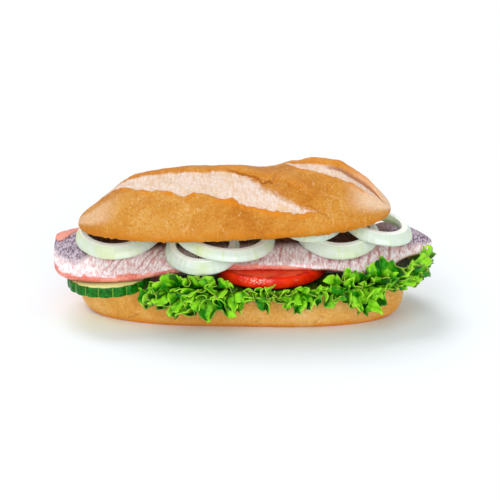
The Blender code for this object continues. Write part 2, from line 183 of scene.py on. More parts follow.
class Value:
    # a number socket of a material: each operator adds one Math node
    def __init__(self, recipe, socket):
        self.recipe, self.socket = recipe, socket

    def math(self, operation, *others, clamp=False):
        # the result of a Math node on this value and the others
        node = self.recipe.node("ShaderNodeMath", {"operation": operation, "use_clamp": clamp},
                                {i: item for i, item in enumerate((self,) + others)})
        return Value(self.recipe, node.outputs[0])

    def __add__(self, other):
        return self.math("ADD", other)

    def __sub__(self, other):
        return self.math("SUBTRACT", other)

    def __mul__(self, other):
        return self.math("MULTIPLY", other)

    def __rsub__(self, other):
        node = self.recipe.node("ShaderNodeMath", {"operation": "SUBTRACT"}, {0: other, 1: self})
        return Value(self.recipe, node.outputs[0])

    __radd__ = __add__
    __rmul__ = __mul__

    def clamp(self):
        # kept between 0 and 1
        return self.math("ADD", 0.0, clamp=True)

    def above(self, low, high):
        # eased from 0 at low to 1 at high
        node = self.recipe.node("ShaderNodeMapRange", {"interpolation_type": "SMOOTHSTEP"},
                                {"Value": self, "From Min": low, "From Max": high})
        return Value(self.recipe, node.outputs["Result"])


def screenColour(red, green, blue):
    # a colour as seen on a screen, 0 to 255, as the linear values that nodes want
    linear = [c / 255 / 12.92 if c <= 10 else ((c / 255 + 0.055) / 1.055) ** 2.4
              for c in (red, green, blue)]
    return (*linear, 1.0)


socketNames = {"colour": "Base Color", "roughness": "Roughness", "normal": "Normal", "coat": "Coat Weight",
               "coatRoughness": "Coat Roughness", "glow": "Subsurface Weight",
               "glowRadius": "Subsurface Radius", "glowScale": "Subsurface Scale",
               "specular": "Specular IOR Level"}


class Recipe:
    # one material, its nodes made by one method; colours are given as seen on a screen
    def __init__(self, name):
        self.material = bpy.data.materials.new(name)
        self.material.use_nodes = True
        self.tree = self.material.node_tree
        self.shader = self.tree.nodes["Principled BSDF"]

    def node(self, kind, settings=None, sockets=None):
        # a node of this kind, its settings made before its sockets are set or linked
        made = self.tree.nodes.new(kind)
        for key, value in (settings or {}).items():
            setattr(made, key, value)
        for key, value in (sockets or {}).items():
            self.feed(made.inputs[key], value)
        return made

    def feed(self, socket, value):
        # links another node's output to a socket or sets the socket's own value
        if isinstance(value, Value):
            value = value.socket
        if isinstance(value, bpy.types.NodeSocket):
            self.tree.links.new(value, socket)
        elif socket.type == "RGBA":
            socket.default_value = screenColour(*value)
        else:
            socket.default_value = value

    def band(self, label):
        # the value that the mesh holds at each of its points under this label
        return Value(self, self.node("ShaderNodeAttribute", {"attribute_name": label}).outputs["Fac"])

    def bands(self, *labels):
        # several of them at once
        return [self.band(label) for label in labels]

    def coordinates(self, scale=(1, 1, 1), turn=(0, 0, 0)):
        # Object coordinates, stretched where scale is below 1
        place = self.node("ShaderNodeTexCoord").outputs["Object"]
        made = self.node("ShaderNodeMapping", None, {"Vector": place, "Scale": scale, "Rotation": turn})
        return made.outputs["Vector"]

    def noise(self, vector, scale, detail=3.0, roughness=0.55):
        # noise between 0 and 1, scale times as fine as a metre
        made = self.node("ShaderNodeTexNoise", None, {"Vector": vector, "Scale": scale, "Detail": detail,
                                                      "Roughness": roughness})
        return Value(self, made.outputs["Fac"])

    def cells(self, vector, scale, feature="F1"):
        # distance to the nearest of scattered points, or to the edges between their cells
        made = self.node("ShaderNodeTexVoronoi", {"feature": feature}, {"Vector": vector, "Scale": scale})
        return Value(self, made.outputs["Distance"])

    def ramp(self, share, shades):
        # shades by their places between 0 and 1
        made = self.node("ShaderNodeValToRGB", None, {"Fac": share})
        while len(made.color_ramp.elements) < len(shades):
            made.color_ramp.elements.new(0.5)
        for stop, (place, shade) in zip(made.color_ramp.elements, shades):
            stop.position = place
            stop.color = screenColour(*shade)
        return made.outputs["Color"]

    def blend(self, share, first, second):
        # the first colour at share 0, the second at share 1
        made = self.node("ShaderNodeMix", {"data_type": "RGBA"}, {0: share, 6: first, 7: second})
        return made.outputs[2]

    def coats(self, colour, *layers):
        # further colours laid over one, each by its share
        for share, shade in layers:
            colour = self.blend(share, colour, shade)
        return colour

    def bump(self, height, strength, distance):
        # a normal tilted by the slope of this height
        sockets = {"Height": height, "Strength": strength, "Distance": distance}
        return self.node("ShaderNodeBump", None, sockets).outputs["Normal"]

    def finish(self, **sockets):
        # sets or links the shader's sockets by their names here
        for key, value in sockets.items():
            self.feed(self.shader.inputs[socketNames[key]], value)
        return self.material


# Roll

base = {"halfLength": 97.6, "halfWidth": 41.5, "cutHeight": 22.4, "cutRise": 0.017, "widestHeight": 13.0,
        "flatShare": 0.79, "yaw": -0.035, "power": 2.8, "rimShare": 0.965,
        # turns from the top, in degrees, at which the rim starts, the side is widest, the foot starts
        "rimTurn": 72.0, "widestTurn": 108.0, "footTurn": 148.0, "rings": 230, "around": 156,
        # short creases in the side, from (x, z) to (x, z)
        "creases": (((42, 3.5), (47, 8)), ((-66, 3), (-60, 7)), ((8, 4), (11, 7))),
        # the crust's tones from browned to pale
        "tones": ((206, 134, 44), (220, 156, 66), (230, 172, 88), (237, 187, 110), (246, 212, 156))}
lid = {"middle": -4.1, "halfLength": 92.9, "halfWidth": 41.5, "cutHeight": 54.6, "cutRise": 0.045,
       "dome": 32.0, "rim": 3.6, "rimInset": 0.06, "hollow": 8.0, "power": 2.8, "leftPower": 2.3,
       "domeTurn": 126.0, "rimTurn": 150.0, "rings": 344, "around": 212,
       "tones": ((176, 98, 14), (194, 121, 28), (205, 139, 48), (214, 155, 70), (230, 188, 122)),
       # how much higher than an even dome the crown is: stations of x and height
       "humps": ((-98, -4.2), (-86, -4.2), (-78, -2.5), (-71, 0.0), (-64, 1.4), (-40, 1.8), (-20, 1.4),
                 (0, 0.0), (12, -2.4), (20, -2.0), (26, -0.7), (34, -0.6), (40, 0.8), (48, 2.1),
                 (58, 3.5), (64, 2.0), (70, 0.6), (77, -0.8), (83, -2.2), (89, -4.8))}
# Places on the dome are x and degrees from its crown, positive to the front. The two slashes: their
# borders, how high the lip behind stands, over what lengths the pale crumb starts and ends, how
# much further it runs along the front border than the back one, and how deep the gap behind is, which is
# also painted dark as its shade.
slashes = (
    {"back": ((-84, -18), (-74, -17), (-64, -3), (-52, 2.5), (-40, 5.5), (-32, 5.5), (-21, 9.5), (-16, 6.5),
              (-4, 11), (4, 14.5), (9, 17), (20, 24), (30, 36), (46, 62)),
     "front": ((-84, -8), (-76, 0), (-68, 17), (-59, 28), (-52, 33), (-48.5, 31), (-40, 36), (-33, 43.5),
               (-30, 40.5), (-20.6, 41), (-12, 46), (-2, 49.5), (-0.8, 52), (7, 57), (15.4, 60), (27.4, 65),
               (36, 67), (46, 70)),
     "lip": 1.0, "starts": 8.0, "ends": 32.0, "slant": 44.0, "shadedGap": 0.0},
    {"back": ((20, -31), (35, -4), (43, 2), (50.5, 7), (58, 12), (69.4, 16.5), (73.6, 19), (79, 27),
              (84, 38), (88, 44)),
     "front": ((20, -28), (35, 6), (41, 13), (46.6, 18), (54.4, 25.5), (58, 28.5), (64, 30.5), (71.8, 34.5),
               (80, 39), (88, 50)),
     "lip": 2.3, "starts": 16.0, "ends": 12.0, "slant": 0.0, "shadedGap": 1.0},
)
crustRelief = {"depth": 2.2, "lipHeight": 1.5, "lipWidth": 9.0, "ragged": 2.0, "crackWidth": 0.55,
               "seamWidth": 0.35, "mmPerDegree": 0.62}
# cracks and fine pale seams, as bent lines and their strength
cracks = (
    (((-7, 8), (-1, 11.5), (5, 15), (10, 17), (12.7, 23), (16, 20), (17.8, 23.5)), 1.0),
    (((17.8, 23.5), (20.2, 13.5), (24.4, 7)), 0.9),
    (((17.2, 31.5), (19.6, 40), (20.8, 43)), 0.7),
    (((26.8, 46), (28.6, 44.5), (31, 45.5)), 0.7),
    (((37, 59), (40.6, 62), (43.6, 67.5), (47.2, 71.5), (51.4, 77.5)), 0.6),
    (((57.4, 60), (59.2, 73), (61, 88)), 0.25),
    (((-22, 62), (-20, 66)), 0.4),
    (((-55, 66), (-52, 60)), 0.4),
)
seams = (
    (((57.8, 57), (57.2, 63), (58.5, 70), (59.2, 77), (59.5, 84), (60.8, 90)), 1.0),
    (((65.5, 83), (68.2, 89)), 1.0),
    (((42.8, 27), (41.5, 31.5), (40.8, 37)), 1.0),
    (((49.5, 72), (52.1, 78), (52.8, 85)), 1.0),
    (((71.8, 78), (70.8, 85), (72.2, 90)), 1.0),
    (((82.8, 46), (85.5, 69), (86.6, 89)), 1.0),
    (((-32.8, 70), (-33.2, 76), (-32.8, 83), (-32.2, 88)), 1.0),
    (((-11.6, 71), (-12.2, 77), (-9.8, 84), (-8.2, 88)), 1.0),
    (((-65.6, 75), (-63.5, 81), (-62.8, 87)), 1.0),
    (((35.2, 32), (37.6, 40), (37, 46)), 1.0),
    (((46, 45), (49.6, 51), (53.8, 54), (58, 57)), 1.0),
    (((-78.8, 24), (-75.2, 40)), 1.0),
    (((-0.2, 13), (-3.2, 21), (-2, 29)), 1.0),
)


def baseCut(x):
    # height of the lower roll's cut face
    return base["cutHeight"] + base["cutRise"] * x


def lidCut(x):
    # height of the upper roll's cut face
    return lid["cutHeight"] + lid["cutRise"] * x


def sectionTurns(count, dense):
    # turns round a section from its top, the closer together the larger dense is
    fine = np.linspace(-180, 180, 4001)
    weight = np.cumsum(dense(fine))
    weight = (weight - weight[0]) / (weight[-1] - weight[0])
    return np.interp(np.arange(count) / count, weight, fine)[None, :]


def baseSurface():
    # for each place along the length and each turn round the section: the cut face, a rounded
    # rim, the bulging side and the flat foot, all narrowing to the tips
    t = np.linspace(0, math.pi, base["rings"] + 2)[1:-1]
    s = -np.cos(t)[:, None]
    turns = sectionTurns(base["around"],
                         lambda a: 1 - 0.65 * (np.abs(a) < 66) - 0.6 * (np.abs(a) > 156))
    side = np.where(turns >= 0, 1.0, -1.0)
    a = np.abs(turns)
    x = base["halfLength"] * s
    cut = baseCut(x)
    edge, flat, widest = base["rimShare"], base["flatShare"], base["widestHeight"]
    rimTurn, widestTurn, footTurn = base["rimTurn"], base["widestTurn"], base["footTurn"]
    c1 = np.radians(90) * (widestTurn - a) / (widestTurn - rimTurn)
    c2 = np.radians(90) * (a - widestTurn) / (footTurn - widestTurn)
    parts = [a <= rimTurn, a <= widestTurn, a <= footTurn]
    across = np.select(parts, [edge * a / rimTurn, edge + (1 - edge) * np.cos(c1),
                               flat + (1 - flat) * np.cos(c2)], flat * (180 - a) / (180 - footTurn))
    height = np.select(parts, [cut, widest + (cut - widest) * np.sin(c1), widest * (1 - np.sin(c2))], 0.0)
    width = base["halfWidth"] * (1 - np.abs(s) ** base["power"]) ** 0.5
    width = width * (1 + 0.012 * np.sin(0.07 * x + 1.3 * side))
    squeeze = (1 - np.abs(s) ** 14) ** 0.5
    height = np.clip(widest + (height - widest) * squeeze * 1.04, 0.0, cut)
    points = stack(x, side * across * width + base["yaw"] * x, height)
    crumb = ease((rimTurn + 1 - a) / 3) * ease((height - cut + 1.4) / 0.8)
    crust = 1 - crumb
    bumps = 0.5 * layeredNoise(points, 16, 3) + 0.22 * layeredNoise(points, 4.5, 8)
    wobbled = points[..., 0] + 0.7 * layeredNoise(points, 2.0, 5)
    creases = sum(bell(lineDistance(wobbled, points[..., 2], bends) / 0.8) for bends in base["creases"])
    reach = ease((points[..., 2] - 0.5) / 3)
    points[..., 1] += side * (bumps - 0.5 * creases) * crust * reach
    pores = layeredNoise(points, 3.0, 21)
    points[..., 2] += crumb * (-0.35 - 0.45 * np.maximum(pores, 0)) * ease((60 - 0.75 * a) / 20)
    tone = 0.6 * layeredNoise(points, 22, 31) + 0.25 * layeredNoise(points, 7, 33)
    foot = ease((4.6 + 1.6 * layeredNoise(points, 9, 35) - points[..., 2]) / 4.5) * crust
    # the creases also go to the colour, where they are darkened as painted shade
    return closedLoft(points, (x[0, 0] - 0.4, base["yaw"] * x[0, 0], widest),
                      (x[-1, 0] + 0.4, base["yaw"] * x[-1, 0], widest),
                      {"crumb": crumb, "tone": tone, "foot": foot, "crack": np.clip(creases, 0, 1)})


def linesOnDome(x, angle, lines, width):
    # how near each place on the dome is to the nearest of some bent lines, by their strength
    scale = crustRelief["mmPerDegree"]
    band = np.zeros_like(x)
    for bends, strength in lines:
        away = lineDistance(x, angle * scale, [(bendX, bend * scale) for bendX, bend in bends])
        band = np.maximum(band, strength * bell(away / width))
    return band


def slashRelief(x, angle, points):
    # height of the crust's relief, and how much of it is torn pale crumb: inside a slash the
    # crumb lies lower, with fine torn strands, and the crust behind stands up as a lip; the gap under
    # the lip gets a mask for its painted shade
    relief, pale, toast, shadedGap = (np.zeros(points.shape[:2]) for _ in range(4))
    edge = crustRelief["ragged"] * layeredNoise(points, 5.0, 41, 4)
    soft = layeredNoise(points, 14.0, 47)
    crisp = layeredNoise(points, 1.7, 49, 2)
    patches = layeredNoise(points, 7.0, 57)
    strands = latticeNoise(stack(x, angle * 0.16, 0), 1.1, 53)
    strands = strands + latticeNoise(stack(x, angle * 0.3, 0), 0.55, 54)
    for slash in slashes:
        first, last = slash["back"][0][0], slash["back"][-1][0]
        back = curveThrough(x, slash["back"], 1) + 0.45 * edge
        front = curveThrough(x, slash["front"], 1) + edge + 1.1 * crisp
        shown = (x > first) & (x < last)
        fade = ease((x - first) / 24) * ease((last - x) / 14) * shown
        lip = crustRelief["lipHeight"] * slash["lip"]
        inside = ease((angle - back) / 3 + 0.5) * ease((front - angle) / 2.0 + 0.5)
        behind = bell((angle - back + 7) / crustRelief["lipWidth"])
        before = bell((angle - front - 3.0) / 4)
        relief -= crustRelief["depth"] * fade * inside
        torn = 1 + 0.8 * patches + 0.7 * crisp
        relief += lip * fade * behind + 0.5 * crustRelief["lipHeight"] * fade * before * torn
        relief += inside * fade * (0.14 * strands + 0.3 * soft + 0.2 * patches)
        spread = ease((angle - back) / 2.5 + 0.5) * ease((front - angle) / 2.5 + 0.5)
        share = (angle - back) / np.maximum(front - back, 1.0)
        taper = ease((last - x + slash["slant"] * (share - 0.7)) / slash["ends"])
        pale = np.maximum(pale, spread * ease((x - first) / slash["starts"]) * taper * shown)
        brownedBehind = 0.3 * slash["lip"] * behind * (angle < back + 1)
        brownedBefore = np.clip(0.65 + patches, 0, 1) * before
        toast = np.maximum(toast, fade * np.maximum(brownedBehind, brownedBefore))
        # the gap just inside the back border, under the lip: a little deeper, and darkened with painted
        # shade
        opened = bell((angle - back - 0.6) / 1.3)
        shadedGap = np.maximum(shadedGap, slash["shadedGap"] * opened * ease((x - first - 18) / 22) * shown)
    return relief, pale, toast, shadedGap, strands * 0.5 + patches * 0.4


def lidSurface():
    # for each place along the length and each turn round the section: a dome (width times the
    # turn's sine, height times its cosine), a rounded rim and a cut face that arches over the
    # filling, the dome raised by the crust's relief
    t = np.linspace(0, math.pi, lid["rings"] + 2)[1:-1]
    s = -np.cos(t)[:, None]
    turns = sectionTurns(lid["around"],
                         lambda a: 1 - 0.72 * (np.abs(a) > 152) - 0.3 * (a > 10) * (a < 120))
    side = np.where(turns >= 0, 1.0, -1.0)
    a = np.abs(turns)
    x = lid["middle"] + lid["halfLength"] * s
    power = np.where(s > 0, lid["power"], lid["leftPower"])
    full = (1 - np.abs(s) ** power) ** 0.5
    low = (1 - np.abs(s) ** 7) ** 0.5
    width = lid["halfWidth"] * full * (1 + 0.012 * np.sin(0.06 * x + 2.1 * side))
    dome = full * (lid["dome"] - lid["rim"] + 0.9 * np.sin(0.045 * x - 0.4))
    dome = dome + curveThrough(x, lid["humps"], 1) * np.minimum(1.0, full * 2)
    level = lidCut(x) + lid["rim"] - 1.2 * ease((-s - 0.75) / 0.25)
    domeTurn, rimTurn, inset = lid["domeTurn"], lid["rimTurn"], lid["rimInset"]
    turn = 90 * np.minimum(a, domeTurn) / domeTurn
    c = np.radians(90) * np.clip((a - domeTurn) / (rimTurn - domeTurn), 0, 1)
    share = np.clip((180 - a) / (180 - rimTurn), 0, 1)
    up = np.radians(turn)
    parts = [a <= domeTurn, a <= rimTurn]
    across = np.select(parts, [width * np.sin(up), width * (1 - inset * (1 - np.cos(c)))],
                       width * (1 - inset) * share)
    height = np.select(parts, [level + dome * np.cos(up), level - low * lid["rim"] * np.sin(c)],
                       level - low * (lid["rim"] - lid["hollow"] * full * (1 - share ** 2)))
    points = stack(x, side * across, height)
    angle = -side * turn + 0 * x
    longX = x + 0 * a
    relief, pale, toast, shadedGap, strands = slashRelief(longX, angle, points)
    crumb = ease((a - rimTurn + 2) / 4)
    wobble = 0.9 * layeredNoise(points, 2.6, 61, 3)
    crack = linesOnDome(longX + wobble, angle + 1.4 * wobble, cracks, crustRelief["crackWidth"])
    # the gap under the lip joins the cracks: deepened, and painted dark as shade
    crack = np.maximum(crack, shadedGap)
    seam = linesOnDome(longX + 0.8 * wobble, angle + 2.2 * wobble, seams, crustRelief["seamWidth"])
    bumps = 0.5 * layeredNoise(points, 17, 71) + 0.16 * layeredNoise(points, 4.2, 73)
    bumps = bumps + 0.13 * layeredNoise(points, 1.7, 75)
    outward = stack(0, side * np.sin(up), np.cos(up) + 0 * x)
    amount = (relief + (bumps - 0.9 * crack) * (1 - crumb)) * np.minimum(1.0, full * 2)
    ragged = 0.5 * layeredNoise(points, 2.2, 81) * bell((a - 147) / 9)
    points = points + outward * (amount * (a <= rimTurn + 2))[..., None]
    points[..., 2] += ragged
    pores = np.maximum(layeredNoise(points, 3.0, 83), 0)
    points[..., 2] += crumb * (0.4 + 0.5 * pores) * ease((a - 152) / 8)
    tone = 0.55 * layeredNoise(points, 24, 91) + 0.3 * layeredNoise(points, 8, 93)
    # flour dust at the left end; at the right end the same band also paints the brightness of the backlight
    dustAndBacklight = 0.7 * ease((-x - 68) / 16) * ease((angle - 12) / 20) * ease((78 - angle) / 20)
    dustAndBacklight = dustAndBacklight + 1.6 * ease((x - 56) / 24) * ease((112 - a) / 40)
    return closedLoft(points, (x[0, 0] - 0.3, 0, level[0, 0]), (x[-1, 0] + 0.3, 0, level[-1, 0]),
                      {"crumb": crumb, "tone": tone, "pale": pale, "crack": crack, "toast": toast,
                       "rim": bell((a - 134) / 15), "strand": strands, "dustAndBacklight": dustAndBacklight, "seam": seam},
                      onesAtPoles=("dustAndBacklight",))


def crustFinish(name, tones, hasSlashes):
    # golden crust: paler and darker fields, fine light wrinkles, tiny specks, pale floury crumb
    # in the slashes and open crumb on the cut face; flour dust, which on the right end also paints
    # the backlight, and cracks, creases and the gap under the lip darkened with painted shade
    recipe = Recipe(name)
    place = recipe.coordinates()
    tone, crumb, crack = recipe.bands("tone", "crumb", "crack")
    fine = recipe.noise(place, 760, 5, 0.7)
    middle = recipe.noise(place, 160, 4, 0.6)
    wide = recipe.noise(place, 38, 3, 0.5)
    swirl = recipe.node("ShaderNodeTexNoise", None, {"Vector": place, "Scale": 120.0, "Detail": 3.0})
    swirl = recipe.node("ShaderNodeVectorMath", {"operation": "SCALE"},
                        {0: swirl.outputs["Color"], "Scale": 0.006}).outputs[0]
    warped = recipe.node("ShaderNodeVectorMath", {"operation": "ADD"}, {0: place, 1: swirl}).outputs[0]
    wrinkles = 1 - recipe.cells(warped, 120, "DISTANCE_TO_EDGE").above(0.0, 0.04)
    wrinkles = wrinkles * wide.above(0.42, 0.6)
    specks = 1 - recipe.cells(place, 300).above(0.08, 0.19)
    specks = specks * middle.above(0.42, 0.54)
    grain = recipe.noise(place, 1700, 2, 0.5)
    pores = (1 - recipe.cells(warped, 420).above(0.04, 0.2)) * middle.above(0.36, 0.5)
    scratches = recipe.noise(recipe.coordinates((1.0, 0.3, 0.3), (0, 0.6, 0)), 700, 3, 0.6).above(0.6, 0.72)
    warmth = (tone * 0.35 + middle * 0.5 + wide * 0.5 + fine * 1.3 + grain * 0.5 - 0.89).clamp()
    colour = recipe.ramp(warmth, tuple(zip((0.0, 0.32, 0.55, 0.78, 1.0), tones)))
    colour = recipe.coats(colour, (scratches * 0.3, (238, 190, 120)), (wrinkles * 0.22, (246, 210, 152)),
                          (specks * 0.5, (250, 222, 176)), (pores * 0.35, (176, 100, 20)))
    if hasSlashes:
        pale, rim, toast, strand, dustAndBacklight, seam = recipe.bands("pale", "rim", "toast", "strand", "dustAndBacklight", "seam")
        uneven = middle + fine * 0.3
        # paler tan for flour dust, and on the right end for painted backlight
        colour = recipe.coats(colour, ((dustAndBacklight * (0.3 + fine)).clamp(), (240, 202, 164)),
                              ((dustAndBacklight * wrinkles * 0.4).clamp(), (252, 228, 194)),
                              (seam * fine.above(0.35, 0.6) * 0.4, (246, 208, 148)),
                              (rim * uneven.above(0.46, 0.66) * 0.85, (206, 122, 2)),
                              (toast * uneven.above(0.34, 0.6) * 0.9, (222, 132, 6)))
        flour = (pale * 2.0 + fine * 0.8 + middle * 0.8 + strand * 0.15 - 1.15).clamp()
        threads = recipe.noise(recipe.coordinates((1.0, 0.22, 0.22)), 900, 3, 0.6)
        torn = (strand * 0.12 + threads * 0.6 + middle * 0.4).above(0.34, 0.66)
        torn = recipe.coats((224, 190, 160), (torn, (236, 218, 206)),
                            (fine.above(0.5, 0.7) * 0.6, (250, 240, 234)),
                            (middle.above(0.54, 0.66) * 0.5, (222, 178, 116)))
        colour = recipe.blend(flour * pale.above(0.02, 0.2), colour, torn)
    else:
        colour = recipe.blend(recipe.band("foot") * 0.95, colour, (226, 136, 4))
    # painted shade: cracks, creases and the gap under the lip darkened
    colour = recipe.blend(crack.above(0.25, 0.9) * (0.8 if hasSlashes else 0.35), colour, (160, 84, 10))
    openCrumb = recipe.blend(middle.above(0.35, 0.7), (226, 196, 150), (248, 232, 205))
    colour = recipe.blend(crumb, colour, openCrumb)
    height = fine * 0.6 + middle * 0.9 - wrinkles * 0.15 + specks * 0.25 - pores * 0.5
    return recipe.finish(colour=colour, roughness=(0.66 - middle * 0.18 + crumb * 0.25).clamp(),
                         normal=recipe.bump(height, 0.9, 0.0009), specular=0.2)


print("roll")
points, faces, bands = baseSurface()
putMesh("lower_roll", points, faces, crustFinish("lowerCrust", base["tones"], False), bands,
        ["bun_bottom"])
points, faces, bands = lidSurface()
putMesh("upper_roll", points, faces, crustFinish("upperCrust", lid["tones"], True), bands,
        ["bun_top"])


# Cucumber and tomato

# paintedShineAt is where along x the painted wet highlight of the front rim lies, from the slice's middle
tomato = {"x": 16.9, "y": -11.2, "radius": 33.3, "thickness": 6.5, "bottom": 26.6, "bulge": 1.2,
          "around": 320, "soften": 0.25, "paintedShineAt": -8.0}


def discSurface(disc, radius, bottom, slope):
    # a round slice: out over the lower face, round the rim in a bulge, back over the upper face
    turn = np.arange(disc["around"]) / disc["around"] * 2 * math.pi
    face = np.concatenate([np.linspace(0.06, 0.94, 16), [0.975]])
    lift = np.sin(np.linspace(-math.pi / 2, math.pi / 2, 15))
    flat = np.zeros(len(face))
    share = np.concatenate([face, np.ones(len(lift)), face[::-1]])[:, None]
    level = np.concatenate([flat, 0.5 + 0.5 * lift, flat + 1])[:, None]
    out = np.concatenate([flat, np.sqrt(np.maximum(0.0, 1 - lift * lift)), flat])[:, None]
    rimFrom = 0.97
    rim = share > rimFrom
    r = share * (radius(turn) - disc["bulge"] * (1 - out) * rim)
    x = disc["x"] + r * np.cos(turn)
    y = disc["y"] + r * np.sin(turn)
    points = stack(x, y, bottom + disc["thickness"] * level + slope * (x - disc["x"]))
    points[..., 2] += disc["soften"] * layeredNoise(points, 5.0, 101) * (share < rimFrom)
    # a band for the wet highlight painted on the front of the rim
    paintedShine = bell((x - disc["x"] - disc["paintedShineAt"]) / 6.5) * (y < disc["y"]) * bell((level - 0.72) / 0.22)
    return closedLoft(points, (disc["x"], disc["y"], bottom),
                      (disc["x"], disc["y"], bottom + disc["thickness"]),
                      {"rim": rim, "reach": share, "turn": turn / (2 * math.pi), "paintedShine": paintedShine * rim})


def cucumberRadius(turn):
    # scalloped rind: a shallow groove between each pair of ridges
    ridges = np.abs(np.cos(cucumber["scallops"] * turn / 2)) ** 4
    return cucumber["radius"] * (1 - cucumber["grooveDepth"] * ridges)


def tomatoRadius(turn):
    # slightly lobed
    return tomato["radius"] * (1 + 0.008 * np.cos(5 * turn + 0.6) + 0.006 * np.cos(3 * turn))


def cucumberFinish():
    # dark rind with a pale line in each groove, and pale flesh with a greener border
    recipe = Recipe("cucumberRindAndFlesh")
    rim, reach, turn = recipe.bands("rim", "reach", "turn")
    mottle = recipe.noise(recipe.coordinates(), 420, 3, 0.6)
    groove = (turn * (cucumber["scallops"] * 2 * math.pi)).math("COSINE")
    rind = recipe.blend(mottle.above(0.3, 0.7), (1, 66, 2), (22, 132, 14))
    rind = recipe.coats(rind, (groove.above(0.55, 0.95) * 0.6, (2, 58, 2)),
                        (groove.above(0.90, 0.995) * 0.6, (112, 174, 44)))
    flesh = recipe.blend(reach.above(0.9, 1.0), (234, 243, 158), (190, 218, 98))
    flesh = recipe.blend(mottle.above(0.4, 0.75) * 0.35, flesh, (250, 246, 200))
    return recipe.finish(colour=recipe.blend(rim, flesh, rind), roughness=0.3,
                         normal=recipe.bump(mottle, 0.2, 0.0004), coat=0.1, coatRoughness=0.12,
                         specular=0.18)


def tomatoFinish():
    # bright wet skin and a darker cut face with pale flecks, with a wet highlight and glints painted on the
    # front of the rim
    recipe = Recipe("tomatoSkinAndFlesh")
    place = recipe.coordinates()
    rim, paintedShine = recipe.bands("rim", "paintedShine")
    soft = recipe.noise(place, 120, 3, 0.5)
    flecks = recipe.noise(place, 900, 2, 0.5)
    skin = recipe.blend(soft.above(0.35, 0.7), (222, 28, 2), (240, 52, 6))
    skin = recipe.blend(flecks.above(0.62, 0.72) * 0.3, skin, (248, 110, 40))
    flesh = recipe.blend(soft.above(0.3, 0.7), (236, 52, 22), (250, 92, 52))
    # painted glints within the painted highlight, both pale pink in the base colour
    paintedGlints = paintedShine * recipe.noise(recipe.coordinates((0.5, 0.5, 1.0)), 1400, 2, 0.5).above(0.5, 0.6)
    colour = recipe.coats(recipe.blend(rim, flesh, skin), (paintedShine * 0.2, (250, 96, 60)),
                          (paintedGlints * 0.9, (255, 206, 196)))
    wet = recipe.noise(place, 150, 3, 0.6).above(0.55, 0.62)
    drops = (1 - recipe.cells(place, 420).above(0.12, 0.3)) * soft.above(0.4, 0.6)
    normal = recipe.bump(flecks * 0.3 + soft + drops * 0.6, 0.35, 0.0006)
    return recipe.finish(colour=colour, roughness=(0.34 - wet * 0.24).clamp(), normal=normal,
                         coat=wet * 0.7, coatRoughness=0.06, specular=0.1)


print("cucumber and tomato")
points, faces, bands = discSurface(cucumber, cucumberRadius, baseCut(cucumber["x"]) + 0.35,
                                   base["cutRise"])
putMesh("cucumber", points, faces, cucumberFinish(), bands, ["cucumber_slice"])
points, faces, bands = discSurface(tomato, tomatoRadius, tomato["bottom"], 0.0)
putMesh("tomato", points, faces, tomatoFinish(), bands, ["tomato_slice"])


# Herring fillets

# stations of x, front edge y, front edge top z, crown y, crown z, back edge y, back edge top z
filletStations = (
    (-112.5, 0.0, 36.0, 11.0, 38.8, 15.5, 39.4),
    (-110.0, -17.0, 32.8, 13.0, 40.0, 18.5, 39.8),
    (-104.0, -27.8, 31.4, 13.0, 41.2, 25.0, 39.6),
    (-94.0, -34.6, 31.3, 10.0, 42.0, 31.5, 38.6),
    (-80.0, -36.7, 31.3, 6.0, 42.6, 35.5, 36.4),
    (-66.0, -35.4, 31.4, 4.0, 42.8, 36.5, 35.0),
    (-50.0, -32.5, 33.0, 3.0, 43.0, 36.5, 35.0),
    (-24.0, -30.5, 36.5, 2.0, 43.4, 36.0, 36.6),
    (-8.0, -30.5, 36.6, 2.0, 43.6, 36.0, 36.7),
    (20.0, -30.5, 36.6, 2.0, 44.2, 36.5, 36.7),
    (49.0, -31.2, 36.6, 3.0, 44.5, 36.5, 36.6),
    (58.0, -31.8, 35.6, 3.5, 44.7, 36.0, 36.0),
    (69.0, -33.5, 35.0, 4.0, 44.7, 35.0, 35.8),
    (78.0, -30.5, 35.2, 4.5, 44.5, 33.5, 39.0),
    (87.0, -25.2, 35.6, 6.0, 44.7, 30.5, 43.0),
    (92.0, -18.0, 36.4, 8.0, 45.0, 28.0, 44.4),
    (97.0, -13.2, 37.4, 8.0, 45.2, 25.0, 44.8),
    (103.0, -10.8, 38.4, 6.0, 44.8, 18.0, 44.0),
    (110.0, -8.0, 39.2, 3.0, 42.8, 9.0, 42.6),
    (113.8, -1.0, 40.4, 1.0, 41.0, 3.0, 41.0),
)
fillet = {"edge": 3.0, "edgeBulge": 0.7, "ragged": 0.45, "soft": 0.45, "fold": 1.0,
          "left": (-112.5, -25.4), "right": (-24.4, 113.8)}
# slits slant by lean for each millimetre of y and reach that share of the way to the back
slitsOf = {"left": {"pitch": 4.6, "width": 0.45, "lean": 0.55, "depth": 0.6, "from": -84, "to": -30,
                    "reach": 0.62},
           "right": {"pitch": 5.8, "width": 0.5, "lean": 0.10, "depth": 0.6, "from": 4, "to": 104,
                     "reach": 0.5}}


def skinHeight(y, lines):
    # the skin climbs from the front edge to a crown and falls to the back edge
    front, frontTop, crown, crownTop, back, backTop = lines
    climb = np.clip((crown - y) / (crown - front), 0, 1)
    fall = np.clip((y - crown) / (back - crown), 0, 1)
    return np.where(y <= crown, crownTop - (crownTop - frontTop) * climb ** 1.6,
                    crownTop - (crownTop - backTop) * fall ** 1.8)


